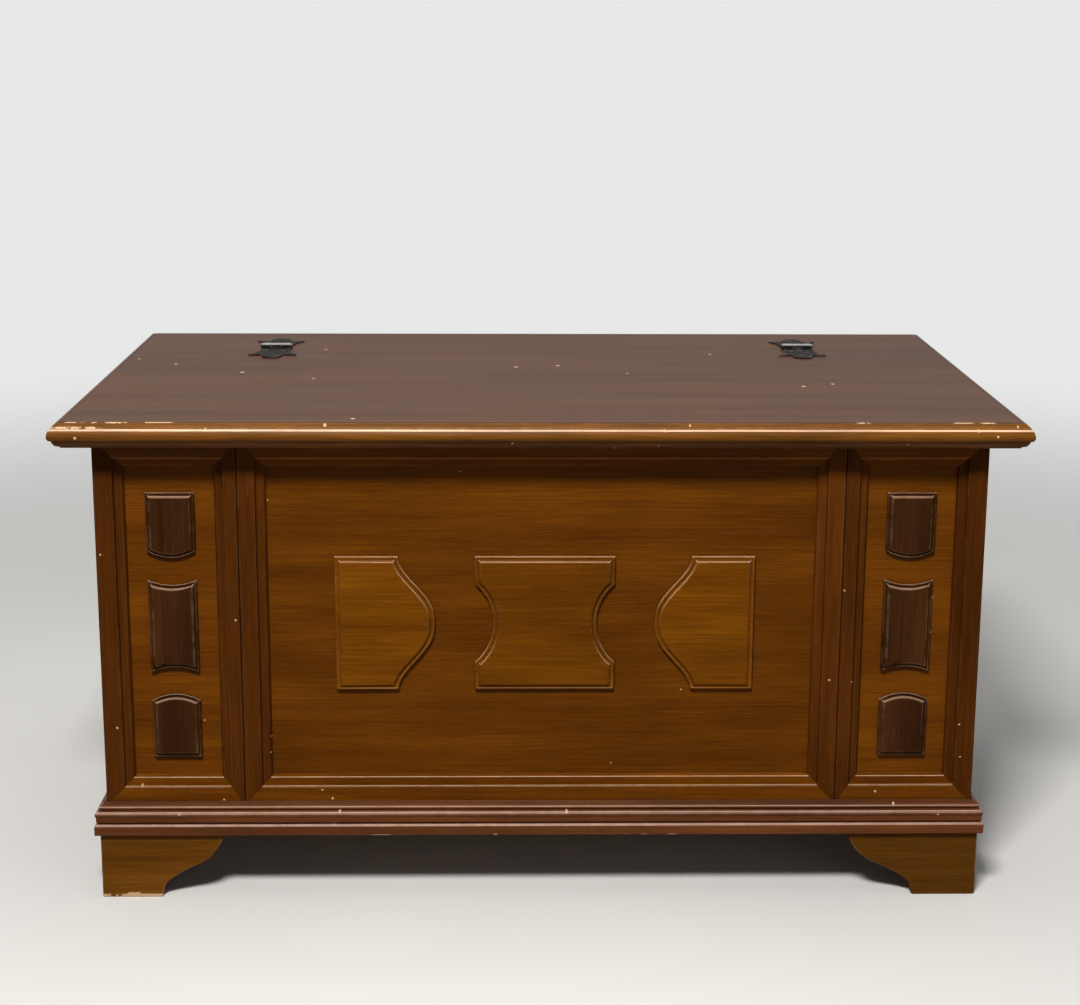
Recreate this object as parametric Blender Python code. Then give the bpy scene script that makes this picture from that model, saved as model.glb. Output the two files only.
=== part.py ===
"""A wooden storage chest with a hinged, moulded lid, modelled as its separate pieces.

The origin is on the floor, below the middle of the chest. +X is to the right of someone who faces the
front, +Y is towards the back and +Z is up. All sizes are in metres.
"""
import math

import bmesh
import bpy
from mathutils import Matrix, Vector

# Overall sizes
lid_width = 1.1
lid_depth = 0.56
side_overhang = 0.039
front_overhang = 0.042
seat_gap = 0.0003
mitre_gap = 0.0002

# Heights, from the floor up
foot_height = 0.08
base_frame_thickness = 0.0132
case_height = 0.468
lid_thickness = 0.022

# Boards of the case
wall_thickness = 0.018
floor_thickness = 0.016

# Frames of applied moulding on the front
frame_thickness = 0.011
side_frame_width = 0.163
frame_foot_setback = 0.02
frame_head_setback = 0.003
corner_stile_width = 0.034
inner_stile_width = 0.027
centre_stile_width = 0.032
bottom_rail_width = 0.034
top_rail_width = 0.036
inner_band_width = 0.011
# Across the raised outer band, then across the lower inner band, against the thickness
outer_band_shares = [(0, 0), (0, 0.91), (0.06, 1), (0.95, 1), (1, 0.93)]
inner_band_shares = [(0, 0.55), (0.82, 0.55), (1, 0.14), (1, 0)]

# Plaques applied to the panels
plaque_thickness = 0.008
centre_plaque_shift = 0.004
centre_plaque_border = 0.0085
side_plaque_width = 0.056
side_plaque_border = 0.0055
side_plaque_drop = 0.0035
outer_plaque_bow = 0.008
middle_plaque_bow = 0.006
# Of half the centre panel's width, out from the middle of the three plaques
end_plaque_edge_share = 0.769
end_plaque_neck_share = 0.539
end_plaque_crown_share = 0.403
hourglass_edge_share = 0.257
hourglass_waist_share = 0.189
# Of half the panels' height, up and down from the middle of the plaques
centre_plaque_share = 0.432
hourglass_hollow_share = 0.254
outer_plaque_end_share = 0.856
outer_plaque_corner_share = 0.483
middle_plaque_corner_share = 0.299
# From the edge of a plaque to its flat field, against its thickness
plaque_edge_shares = [(0, 0), (0, 0.56), (0.18, 0.69), (0.35, 0.56), (0.53, 0.52), (0.7, 0.88), (1, 1)]
ogee_power = 1.2
curve_steps = 20
bow_steps = 8

# Base moulding round the case, and the base frame under it
base_moulding_height = 0.0252
base_moulding_reach = 0.0122
base_frame_reach = 0.013
base_frame_width = 0.06
base_frame_arris = 0.0015
# Outward from the case against the height, from the bottom edge up to the top edge
base_profile_shares = [(0.77, 0), (0.77, 0.063), (0.9, 0.087), (0.9, 0.34), (0.98, 0.39), (1, 0.5),
                       (0.885, 0.587), (0.51, 0.61), (0.51, 0.675), (0.672, 0.7), (0.672, 0.794),
                       (0.574, 0.853), (0.164, 0.976), (0.164, 1)]

# Bracket feet
foot_thickness = 0.018
foot_setback = 0.0055
left_foot_length = 0.1445
right_foot_length = 0.154
side_foot_length = 0.145
block_size = 0.03
block_rise = 0.003
# Along the foot from its outer edge, against its height from the floor up to the base frame
foot_toe_share = (0.488, 0)
foot_belly_shares = [(0.515, 0.19), (0.54, 0.27), (0.68, 0.44), (0.8, 0.52)]
foot_throat_shares = [(0.8, 0.52), (0.9, 0.6), (0.99, 0.8), (1, 1)]
foot_curve_steps = 6

# Lid, its edge moulding and the fixed strip behind it
strip_depth = 0.1175
split_width = 0.001
lid_nose = 0.014
lid_moulding_height = 0.0304
lip_thickness = 0.0081
lip_clearance = 0.002
batten_width = 0.045
batten_thickness = 0.018
batten_end_distance = 0.25
batten_front_clearance = 0.03
batten_hinge_clearance = 0.035
# Inward from the nose against the drop from the top, down the outer face of the moulding
lid_profile_shares = [(1, 0), (0.68, 0.02), (0.29, 0.184), (0.257, 0.243), (0.086, 0.33), (0, 0.46),
                      (0, 0.56), (0.114, 0.664), (0.3, 0.69), (0.33, 0.757), (0.514, 0.888),
                      (0.857, 0.954), (0.857, 1)]

# Hinges on top of the lid
hinge_end_distance = 0.199
knuckle_radius = 0.004
knuckle_bore_radius = 0.0018
knuckle_length = 0.038
knuckle_clearance = 0.0008
knuckle_end_gap = 0.0003
pin_radius = 0.0015
pin_head_radius = 0.0033
pin_head_length = 0.0022
leaf_thickness = 0.002
leaf_wing = 0.032
leaf_wing_reach = 0.048
leaf_notch_reach = 0.046
leaf_reach = 0.066
leaf_lobe_radius = 0.0135
leaf_screw_spread = 0.0115
leaf_screw_reach = 0.022
leaf_lobe_screw_reach = 0.0525
# Side of a leaf from its knuckle to the tip of its wing, outward against along
leaf_side_shares = [(0, 0), (0, 0.62), (0.3, 0.9), (1, 1)]
round_steps = 16
leaf_steps = 5

# Wood screws with raised, slotted heads
screw_head_radius = 0.0034
screw_head_rise = 0.0008
screw_shank_radius = 0.0017
screw_length = 0.014
screw_tip_length = 0.003
screw_clearance = 0.0004
slot_width = 0.0009
slot_depth = 0.0005
# Radius of the head against its rise
screw_head_shares = [(0.5, 1), (0.86, 0.7), (1, 0.2)]
screw_steps = 10
cut_overrun = 0.003

# Lid stay: a quadrant arm about the hinge axis, and its keeper on the right wall
stay_radius = 0.118
stay_width = 0.01
stay_thickness = 0.003
stay_wall_offset = 0.008
stay_head_width = 0.018
stay_head_length = 0.005
stay_foot_length = 0.04
stay_foot_width = 0.025
stay_foot_thickness = 0.0025
stay_screw_spread = 0.013
stay_screw_inset = 0.009
stay_steps = 20
keeper_angle = math.radians(25)
keeper_length = 0.012
keeper_plate_thickness = 0.003
keeper_plate_reach = 0.022
keeper_cheek = 0.0035
keeper_strap = 0.002
keeper_clearance = 0.0006
keeper_screw_reach = 0.0165
lid_open_angle = math.radians(95)

# Heights and faces that the pieces share
base_frame_bottom = foot_height + seat_gap
base_frame_top = base_frame_bottom + base_frame_thickness
case_bottom = base_frame_top + seat_gap
case_top = case_bottom + case_height
lid_bottom = case_top + seat_gap
lid_top = lid_bottom + lid_thickness
lid_half = lid_width / 2
case_half = lid_half - side_overhang
lid_front = -lid_depth / 2
back_face = lid_depth / 2
case_front = lid_front + front_overhang
board_front = case_front + frame_thickness + seat_gap
board_inner = board_front + wall_thickness
back_inner = back_face - wall_thickness
wall_inner = case_half - wall_thickness
frame_bottom = case_bottom + frame_foot_setback
frame_top = case_top - frame_head_setback
frame_joint_x = case_half - side_frame_width
panel_bottom = frame_bottom + bottom_rail_width
panel_top = frame_top - top_rail_width
panel_half_width = frame_joint_x - centre_stile_width
panel_half_height = (panel_top - panel_bottom) / 2
foot_face_x = case_half + base_frame_reach - foot_setback
foot_face_y = case_front - base_frame_reach + foot_setback
hinge_y = back_face - strip_depth
hinge_z = lid_top + seat_gap + knuckle_radius
hinge_centre_x = lid_half - hinge_end_distance
arm_centre_x = wall_inner - stay_wall_offset


# Materials
def plain_material(name, colour, roughness, metallic=0.0):
    """One material with the piece's own colour, roughness and metallic value."""
    material = bpy.data.materials.new(name)
    material.use_nodes = True
    shader = material.node_tree.nodes["Principled BSDF"]
    shader.inputs["Base Color"].default_value = (*colour, 1.0)
    shader.inputs["Roughness"].default_value = roughness
    shader.inputs["Metallic"].default_value = metallic
    material.diffuse_color = (*colour, 1.0)
    return material


def dark_top_wood(name):
    """Dark brown, dull wood of the lid and the strip behind it."""
    return plain_material(name, (0.085, 0.04, 0.024), 0.5)


def amber_wood(name):
    """Amber brown polished wood of the panels, the rails and the mouldings."""
    return plain_material(name, (0.29, 0.135, 0.035), 0.38)


def reddish_wood(name):
    """Reddish brown polished wood of the stiles and the sides."""
    return plain_material(name, (0.2, 0.085, 0.032), 0.38)


def walnut_wood(name):
    """Dark walnut of the plaques in the side frames."""
    return plain_material(name, (0.1, 0.045, 0.025), 0.4)


def inside_wood(name):
    """Pale brown unfinished wood of the back and of the hidden pieces."""
    return plain_material(name, (0.3, 0.19, 0.1), 0.75)


def black_iron(name):
    """Black forged iron of the hinges."""
    return plain_material(name, (0.03, 0.028, 0.027), 0.5, 0.8)


def old_brass(name):
    """Dull brass of the lid stay."""
    return plain_material(name, (0.36, 0.25, 0.1), 0.4, 1.0)


# Making solids
def clear_scene():
    """Removes every object, so the chest stands alone."""
    for thing in list(bpy.data.objects):
        bpy.data.objects.remove(thing, do_unlink=True)


def solid(name, points, faces, material, smooth=False):
    """A closed mesh object with its origin at its middle and its faces turned outward."""
    points = [Vector(point) for point in points]
    lowest = Vector([min(point[axis] for point in points) for axis in range(3)])
    highest = Vector([max(point[axis] for point in points) for axis in range(3)])
    middle = (lowest + highest) / 2
    mesh = bpy.data.meshes.new(name)
    mesh.from_pydata([point - middle for point in points], [], faces)
    shape = bmesh.new()
    shape.from_mesh(mesh)
    bmesh.ops.recalc_face_normals(shape, faces=shape.faces)
    shape.to_mesh(mesh)
    shape.free()
    if material is not None:
        mesh.materials.append(material(name))
    if smooth:
        mesh.shade_smooth()
        mesh.set_sharp_from_angle(angle=math.radians(32))
    thing = bpy.data.objects.new(name, mesh)
    thing.location = middle
    bpy.context.scene.collection.objects.link(thing)
    return thing


def box(name, low, high, material):
    """A plain board between two corners."""
    rings = [[(x, low[1], low[2]), (x, high[1], low[2]), (x, high[1], high[2]), (x, low[1], high[2])]
             for x in (low[0], high[0])]
    return loft(name, rings, material)


def ring_faces(levels, count, closed=False):
    """Faces between rings of equally many points. A closed stack joins its last ring to its first."""
    faces = []
    for level in range(levels if closed else levels - 1):
        low = level * count
        high = (level + 1) % levels * count
        for index in range(count):
            following = (index + 1) % count
            faces.append((low + index, low + following, high + following, high + index))
    return faces


def loft(name, rings, material, smooth=False, caps=None):
    """A solid through rings of equally many points, closed over its first and last ring.

    Caps lists the faces that close a ring, as its point numbers, where it isn't one flat face.
    """
    return several_lofts(name, [rings], material, smooth, caps)


def several_lofts(name, stacks, material, smooth=False, caps=None):
    """Several solids through stacks of rings, all in one object."""
    points = []
    faces = []
    for rings in stacks:
        base = len(points)
        count = len(rings[0])
        last = (len(rings) - 1) * count
        points += [point for ring in rings for point in ring]
        ends = [[start + corner for corner in cap] for start in (0, last) for cap in caps or [range(count)]]
        for face in ring_faces(len(rings), count) + ends:
            faces.append(tuple(base + corner for corner in face))
    return solid(name, points, faces, material, smooth)


def combine(target, other, operation):
    """Joins a hidden shape to a solid, or cuts it away."""
    other.hide_render = True
    other.display_type = "WIRE"
    modifier = target.modifiers.new(other.name, "BOOLEAN")
    modifier.operation = operation
    modifier.object = other


def between(start, end, share):
    """The value a share of the way from start to end."""
    return start + (end - start) * share


def bezier(controls, steps):
    """Points along a cubic curve through its first and last control point."""
    curve = []
    for step in range(steps + 1):
        t = step / steps
        weights = ((1 - t) ** 3, 3 * t * (1 - t) ** 2, 3 * t * t * (1 - t), t ** 3)
        curve.append([sum(w * control[axis] for w, control in zip(weights, controls)) for axis in (0, 1)])
    return curve


def circle(radius, steps):
    """Points round a circle, with a flat side rather than a corner at each quarter."""
    angles = [2 * math.pi * (step + 1 / 2) / steps for step in range(steps)]
    return [(radius * math.cos(angle), radius * math.sin(angle)) for angle in angles]


def inset_outline(outline, distance):
    """The outline moved inward by a distance. The outline runs anticlockwise."""
    moved = []
    for index, point in enumerate(outline):
        before = Vector(point) - Vector(outline[index - 1])
        after = Vector(outline[(index + 1) % len(outline)]) - Vector(point)
        normal_before = Vector((-before.y, before.x)).normalized()
        normal_after = Vector((-after.y, after.x)).normalized()
        middle = (normal_before + normal_after).normalized()
        moved.append(Vector(point) + middle * (distance / middle.dot(normal_before)))
    return moved


# Case
def make_case():
    """Front, back, side and bottom boards. The bottom board lies on the base frame."""
    box("front_board", (-case_half, board_front, case_bottom), (case_half, board_inner, case_top), amber_wood)
    box("back_board", (-case_half, back_inner, case_bottom), (case_half, back_face, case_top), inside_wood)
    front = board_inner + seat_gap
    back = back_inner - seat_gap
    box("side_board_left", (-case_half, front, case_bottom), (-wall_inner, back, case_top), reddish_wood)
    right = box("side_board_right", (wall_inner, front, case_bottom), (case_half, back, case_top),
                reddish_wood)
    edge = wall_inner - seat_gap
    floor_top = case_bottom + floor_thickness
    box("bottom_board", (-edge, front, case_bottom), (edge, back, floor_top), inside_wood)
    return right


# Frames on the front
def corners(left, right, bottom, top):
    """The four corners of a rectangle, anticlockwise from the lower left."""
    return [Vector(corner) for corner in ((left, bottom), (right, bottom), (right, top), (left, top))]


def frame_member(name, outer, band, inner, side, material):
    """One mitred length of frame moulding, between two corners of the frame's three outlines.

    The mitre turns where the outer band meets the inner one, so each end is two flat faces.
    """
    following = (side + 1) % 4
    gap = (outer[following] - outer[side]).normalized() * mitre_gap
    rings = []
    for corner, inset in ((side, gap), (following, -gap)):
        ring = [(outer[corner].lerp(band[corner], across), height) for across, height in outer_band_shares]
        ring += [(band[corner].lerp(inner[corner], across), height) for across, height in inner_band_shares]
        ring.append((band[corner], 0))
        rings.append([((spot + inset).x, case_front + frame_thickness * (1 - height), (spot + inset).y)
                      for spot, height in ring])
    turn = len(outer_band_shares)
    last = turn + len(inner_band_shares)
    return loft(name, rings, material, caps=[[*range(turn + 1), last], range(turn, last + 1)])


def make_frame(name, left, right, left_width, right_width):
    """A mitred frame between two x places, with stiles of the given widths."""
    outer = corners(left, right, frame_bottom, frame_top)
    inner = corners(left + left_width, right - right_width, panel_bottom, panel_top)
    band = corners(left + left_width - inner_band_width, right - right_width + inner_band_width,
                   panel_bottom - inner_band_width, panel_top + inner_band_width)
    frame_member(name + "_bottom", outer, band, inner, 0, amber_wood)
    frame_member(name + "_right", outer, band, inner, 1, reddish_wood)
    frame_member(name + "_top", outer, band, inner, 2, amber_wood)
    frame_member(name + "_left", outer, band, inner, 3, reddish_wood)


def make_frames():
    """The three frames side by side."""
    near = frame_joint_x - seat_gap / 2
    far = frame_joint_x + seat_gap / 2
    make_frame("left_frame", -case_half, -far, corner_stile_width, inner_stile_width)
    make_frame("centre_frame", -near, near, centre_stile_width, centre_stile_width)
    make_frame("right_frame", far, case_half, inner_stile_width, corner_stile_width)


# Plaques
def make_plaque(name, outline, centre_x, centre_z, border, material):
    """An applied plaque with a stepped edge, on the front board."""
    rings = []
    for inset, height in plaque_edge_shares:
        y = board_front - seat_gap - plaque_thickness * height
        rings.append([(centre_x + point[0], y, centre_z + point[1])
                      for point in inset_outline(outline, border * inset)])
    return loft(name, rings, material)


def end_plaque_outline():
    """Straight on the left, with an ogee bulge on the right."""
    half_height = panel_half_height * centre_plaque_share
    edge = -panel_half_width * end_plaque_edge_share
    neck = -panel_half_width * end_plaque_neck_share
    crown = -panel_half_width * end_plaque_crown_share
    outline = [(edge, half_height), (edge, -half_height)]
    for step in range(curve_steps + 1):
        place = 2 * step / curve_steps - 1
        swell = (1 + math.cos(math.pi * abs(place) ** ogee_power)) / 2
        outline.append((between(neck, crown, swell), half_height * place))
    return outline


def hourglass_outline():
    """Straight ends with a round hollow in each side."""
    half_width = panel_half_width * hourglass_edge_share
    half_height = panel_half_height * centre_plaque_share
    depth = half_width - panel_half_width * hourglass_waist_share
    chord = panel_half_height * hourglass_hollow_share
    radius = (chord ** 2 + depth ** 2) / (2 * depth)
    swing = math.asin(chord / radius)
    steps = curve_steps // 2
    right = [(half_width, -half_height)]
    for step in range(steps + 1):
        angle = between(-swing, swing, step / steps)
        right.append((half_width - depth + radius * (1 - math.cos(angle)), radius * math.sin(angle)))
    right.append((half_width, half_height))
    return right + [(-x, -z) for x, z in right]


def mirrored(outline):
    """The same outline facing the other way, still anticlockwise."""
    return [(-x, z) for x, z in reversed(outline)]


def bowed_edge(level, rise):
    """The edge of a side plaque from right to left, its middle a rise above its ends."""
    half = side_plaque_width / 2
    steps = bow_steps if rise else 1
    places = [1 - 2 * step / steps for step in range(steps + 1)]
    return [(half * place, level + rise * (1 - place * place)) for place in places]


def side_plaque_outline(low, low_rise, high, high_rise):
    """A side plaque between two levels, each edge straight or bowed by its rise."""
    return bowed_edge(high, high_rise) + bowed_edge(low, low_rise)[::-1]


def make_plaques():
    """Three plaques in the centre frame and three in each side frame."""
    panel_middle = panel_bottom + panel_half_height
    place = (centre_plaque_shift, panel_middle, centre_plaque_border, amber_wood)
    make_plaque("centre_plaque_left", end_plaque_outline(), *place)
    make_plaque("centre_plaque_middle", hourglass_outline(), *place)
    make_plaque("centre_plaque_right", mirrored(end_plaque_outline()), *place)
    end = panel_half_height * outer_plaque_end_share
    outer_corner = panel_half_height * outer_plaque_corner_share
    middle_corner = panel_half_height * middle_plaque_corner_share
    top = side_plaque_outline(outer_corner, -outer_plaque_bow, end, 0)
    middle = side_plaque_outline(-middle_corner, middle_plaque_bow, middle_corner, -middle_plaque_bow)
    bottom = side_plaque_outline(-end, 0, -outer_corner, outer_plaque_bow)
    panel_centre = (case_half - corner_stile_width + frame_joint_x + inner_stile_width) / 2
    for side, name in ((-1, "left"), (1, "right")):
        place = (side * panel_centre, panel_middle - side_plaque_drop, side_plaque_border, walnut_wood)
        make_plaque(name + "_plaque_top", top, *place)
        make_plaque(name + "_plaque_middle", middle, *place)
        make_plaque(name + "_plaque_bottom", bottom, *place)


# Mouldings that run along the front and the sides
def front_run(name, profile, half, face, material):
    """A length along the front, mitred at both ends. The profile holds outward reach and height."""
    rings = [[(side * (half + reach - mitre_gap), face - reach, z) for reach, z in profile]
             for side in (-1, 1)]
    return loft(name, rings, material)


def side_run(name, profile, side, half, face, back, material):
    """A length along one side, mitred at the front and square at the back."""
    front_ring = [(side * (half + reach), face - reach + mitre_gap, z) for reach, z in profile]
    back_ring = [(side * (half + reach), back, z) for reach, z in profile]
    return loft(name, [front_ring, back_ring], material)


def make_base_moulding():
    """The moulding at the foot of the case. The front one has a ledge that the frames stand on."""
    profile = [(base_moulding_reach * reach, case_bottom + base_moulding_height * height)
               for reach, height in base_profile_shares]
    profile += [(seat_gap, case_bottom + base_moulding_height), (seat_gap, case_bottom)]
    front = front_run("base_moulding_front", profile, case_half, case_front, amber_wood)
    ledge_end = case_half - mitre_gap
    ledge = box("base_moulding_ledge", (-ledge_end, case_front - base_moulding_reach / 3, case_bottom),
                (ledge_end, board_front - seat_gap, frame_bottom - seat_gap), None)
    combine(front, ledge, "UNION")
    side_run("base_moulding_left", profile, -1, case_half, case_front, back_face, reddish_wood)
    side_run("base_moulding_right", profile, 1, case_half, case_front, back_face, reddish_wood)


def make_base_frame():
    """The flat frame under the case, with a worn upper arris on the front and the sides."""
    inner = base_frame_reach - base_frame_width
    profile = [(inner, base_frame_bottom), (base_frame_reach, base_frame_bottom),
               (base_frame_reach, base_frame_top - base_frame_arris),
               (base_frame_reach - base_frame_arris, base_frame_top), (inner, base_frame_top)]
    front_run("base_frame_front", profile, case_half, case_front, reddish_wood)
    side_run("base_frame_left", profile, -1, case_half, case_front, back_face, reddish_wood)
    side_run("base_frame_right", profile, 1, case_half, case_front, back_face, reddish_wood)
    end = case_half + inner - seat_gap
    box("base_frame_back", (-end, back_face - base_frame_width, base_frame_bottom),
        (end, back_face, base_frame_top), inside_wood)


# Feet
def foot_outline(length):
    """A bracket foot seen square on: along from its outer corner, and up."""
    curve = [foot_toe_share] + bezier(foot_belly_shares, foot_curve_steps)
    curve += bezier(foot_throat_shares, foot_curve_steps)[1:]
    return [(0, 0)] + [(length * along, foot_height * up) for along, up in curve] + [(0, foot_height)]


def front_foot(name, side, length):
    """The bracket across the front, mitred at its outer corner."""
    rings = []
    for depth in (0, foot_thickness):
        rings.append([(side * (foot_face_x - max(along, depth + mitre_gap)), foot_face_y + depth, up)
                      for along, up in foot_outline(length)])
    return loft(name, rings, amber_wood)


def side_foot(name, side):
    """The bracket along the side, mitred to the front one."""
    rings = []
    for depth in (0, foot_thickness):
        rings.append([(side * (foot_face_x - depth), foot_face_y + max(along, depth + mitre_gap), up)
                      for along, up in foot_outline(side_foot_length)])
    return loft(name, rings, reddish_wood)


def rear_foot(name, side):
    """The bracket at the back of a side, square at its outer end."""
    rings = [[(side * (foot_face_x - depth), back_face - along, up)
              for along, up in foot_outline(side_foot_length)] for depth in (0, foot_thickness)]
    return loft(name, rings, reddish_wood)


def foot_block(name, side, start):
    """A glue block in the corner behind a foot, clear of the floor."""
    outer = side * (foot_face_x - foot_thickness - seat_gap)
    inner = outer - side * block_size
    box(name, (min(outer, inner), start, block_rise), (max(outer, inner), start + block_size, foot_height),
        inside_wood)


def make_feet():
    """Front, side and rear brackets, with a glue block in each corner."""
    block_front = foot_face_y + foot_thickness + seat_gap
    for side, name, length in ((-1, "left", left_foot_length), (1, "right", right_foot_length)):
        front_foot("front_foot_" + name, side, length)
        side_foot("side_foot_" + name, side)
        rear_foot("rear_foot_" + name, side)
        foot_block("front_block_" + name, side, block_front)
        foot_block("rear_block_" + name, side, back_face - block_size)


# Lid
def lid_moulding_profile():
    """The edge moulding in section, with the lip that laps under the board."""
    outer = [(-lid_nose * inset, lid_top - lid_moulding_height * drop) for inset, drop in lid_profile_shares]
    bottom = lid_top - lid_moulding_height
    lip_inner = lip_clearance - min(side_overhang, front_overhang)
    lip_top = bottom + lip_thickness
    return outer + [(lip_inner, bottom), (lip_inner, lip_top), (-lid_nose, lip_top)]


def make_strip():
    """The fixed strip behind the split, with a moulding on each end."""
    edge = lid_half - lid_nose - seat_gap
    front = hinge_y + split_width / 2
    strip = box("rear_strip", (-edge, front, lid_bottom), (edge, back_face, lid_top), dark_top_wood)
    for side, name in ((-1, "left"), (1, "right")):
        rings = [[(side * (lid_half + reach), y, z) for reach, z in lid_moulding_profile()]
                 for y in (front, back_face)]
        loft("strip_moulding_" + name, rings, amber_wood)
    return strip


def make_lid():
    """The lid board with its mouldings and battens. Returns its pieces, the board first."""
    edge = lid_half - lid_nose - seat_gap
    front = lid_front + lid_nose + seat_gap
    back = hinge_y - split_width / 2
    pieces = [box("lid_board", (-edge, front, lid_bottom), (edge, back, lid_top), dark_top_wood)]
    profile = lid_moulding_profile()
    pieces.append(front_run("lid_moulding_front", profile, lid_half, lid_front, amber_wood))
    batten_front = board_inner + batten_front_clearance
    batten_back = hinge_y - batten_hinge_clearance
    batten_top = lid_bottom - seat_gap
    for side, name in ((-1, "left"), (1, "right")):
        pieces.append(side_run("lid_moulding_" + name, profile, side, lid_half, lid_front, back, amber_wood))
        low_x = side * (lid_half - batten_end_distance) - batten_width / 2
        pieces.append(box("lid_batten_" + name, (low_x, batten_front, batten_top - batten_thickness),
                          (low_x + batten_width, batten_back, batten_top), inside_wood))
    return pieces


# Screws
def turned(places, profile, steps):
    """Stacks of rings for like turned pieces: a profile of radius and height at each place."""
    return [[[place @ Vector((x, y, height)) for x, y in circle(radius, steps)] for radius, height in profile]
            for place in places]


def screw_slots(places):
    """Stacks of rings for the slot cut across each screw's head."""
    half_length = screw_head_radius + cut_overrun
    half_width = slot_width / 2
    floor = screw_head_rise - slot_depth
    outline = [(-half_length, -half_width), (half_length, -half_width),
               (half_length, half_width), (-half_length, half_width)]
    return [[[place @ Vector((x, y, height)) for x, y in outline] for height in (floor, floor + cut_overrun)]
            for place in places]


def add_screws(plate, wood, places, plate_thickness):
    """Joins screws to the plate that they hold, and cuts their holes in the wood behind it.

    Each place is a matrix on the plate's face, and its +Z points out of the wood.
    """
    head = [(screw_head_radius * radius, screw_head_rise * height) for radius, height in screw_head_shares]
    seat = -plate_thickness / 2
    shank = [(screw_head_radius, seat), (screw_shank_radius, seat),
             (screw_shank_radius, screw_tip_length - screw_length), (screw_shank_radius / 2, -screw_length)]
    screws = several_lofts(plate.name + "_screws", turned(places, head + shank, screw_steps), None, True)
    combine(plate, screws, "UNION")
    combine(plate, several_lofts(plate.name + "_slots", screw_slots(places), None), "DIFFERENCE")
    radius = screw_shank_radius + screw_clearance
    hole = [(radius, 0), (radius, -screw_length - screw_clearance)]
    holes = several_lofts(plate.name + "_holes", turned(places, hole, screw_steps), None)
    combine(wood, holes, "DIFFERENCE")


# Hinges
def leaf_outline(spans):
    """A leaf seen from above: from its knuckles at the axis out to its wings and its round lobe."""
    half = knuckle_length / 2
    clear = knuckle_radius + knuckle_clearance
    side = [(between(half, leaf_wing, outward), between(clear, leaf_wing_reach, along))
            for outward, along in bezier(leaf_side_shares, leaf_steps)]
    centre = leaf_reach - leaf_lobe_radius
    start = math.asin((leaf_notch_reach - centre) / leaf_lobe_radius)
    angles = [between(start, math.pi / 2, step / leaf_steps) for step in range(leaf_steps)]
    lobe = [(leaf_lobe_radius * math.cos(angle), centre + leaf_lobe_radius * math.sin(angle))
            for angle in angles]
    right = side + lobe
    outline = right + [(0, leaf_reach)] + [(-x, y) for x, y in reversed(right)]
    for low, high in spans:
        tab = [(low, clear), (low, 0), (high, 0), (high, clear)]
        outline += [point for point in tab if abs(point[0]) < half or point[1] < clear]
    return outline


def make_knuckles(name, centre_x, spans):
    """Open tubes about the hinge axis, one for each span along X."""
    points = []
    faces = []
    for low, high in spans:
        base = len(points)
        for x, radius in ((low, knuckle_radius), (high, knuckle_radius),
                          (high, knuckle_bore_radius), (low, knuckle_bore_radius)):
            points += [(centre_x + x, hinge_y + y, hinge_z + z) for y, z in circle(radius, round_steps)]
        faces += [tuple(base + corner for corner in face) for face in ring_faces(4, round_steps, True)]
    return solid(name, points, faces, None, True)


def make_leaf(name, centre_x, direction, spans, wood):
    """A hinge leaf with its knuckles and screws. Direction is -1 for the lid's leaf."""
    low = lid_top + seat_gap
    high = low + leaf_thickness
    rings = [[(centre_x + x, hinge_y + direction * y, z) for x, y in leaf_outline(spans)]
             for z in (low, high)]
    leaf = loft(name, rings, black_iron, True)
    combine(leaf, make_knuckles(name + "_knuckles", centre_x, spans), "UNION")
    spots = [(-leaf_screw_spread, leaf_screw_reach), (leaf_screw_spread, leaf_screw_reach),
             (0, leaf_lobe_screw_reach)]
    places = [Matrix.Translation((centre_x + x, hinge_y + direction * y, high)) for x, y in spots]
    add_screws(leaf, wood, places, leaf_thickness)
    return leaf


def make_pin(name, centre_x):
    """A hinge pin with a small head at both ends."""
    start = knuckle_length / 2 + knuckle_end_gap
    end = start + pin_head_length
    chamfer = end - pin_head_length / 3
    half = [(pin_radius, start), (pin_head_radius, start), (pin_head_radius, chamfer), (pin_radius, end)]
    profile = [(radius, -along) for radius, along in reversed(half)] + half
    place = Matrix.Translation((centre_x, hinge_y, hinge_z)) @ Matrix.Rotation(math.pi / 2, 4, "Y")
    return several_lofts(name, turned([place], profile, round_steps), black_iron, True)


def make_hinges(lid_board, strip):
    """Both hinges. Returns the pieces that move with the lid."""
    half = knuckle_length / 2
    joint = knuckle_length / 6
    play = knuckle_end_gap / 2
    middle = [(play - joint, joint - play)]
    outside = [(-half, -joint - play), (joint + play, half)]
    moving = []
    for side, name in ((-1, "left"), (1, "right")):
        centre_x = side * hinge_centre_x
        moving.append(make_leaf("hinge_lid_leaf_" + name, centre_x, -1, middle, lid_board))
        make_leaf("hinge_strip_leaf_" + name, centre_x, 1, outside, strip)
        make_pin("hinge_pin_" + name, centre_x)
    return moving


# Lid stay
def around_hinge(radius, angle):
    """A place in the stay's plane, at an angle below the level line in front of the hinge axis."""
    return hinge_y - radius * math.cos(angle), hinge_z - radius * math.sin(angle)


def arc_points(radius, start, end):
    """Points along the stay's arm between two angles."""
    return [around_hinge(radius, between(start, end, step / stay_steps)) for step in range(stay_steps + 1)]


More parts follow.
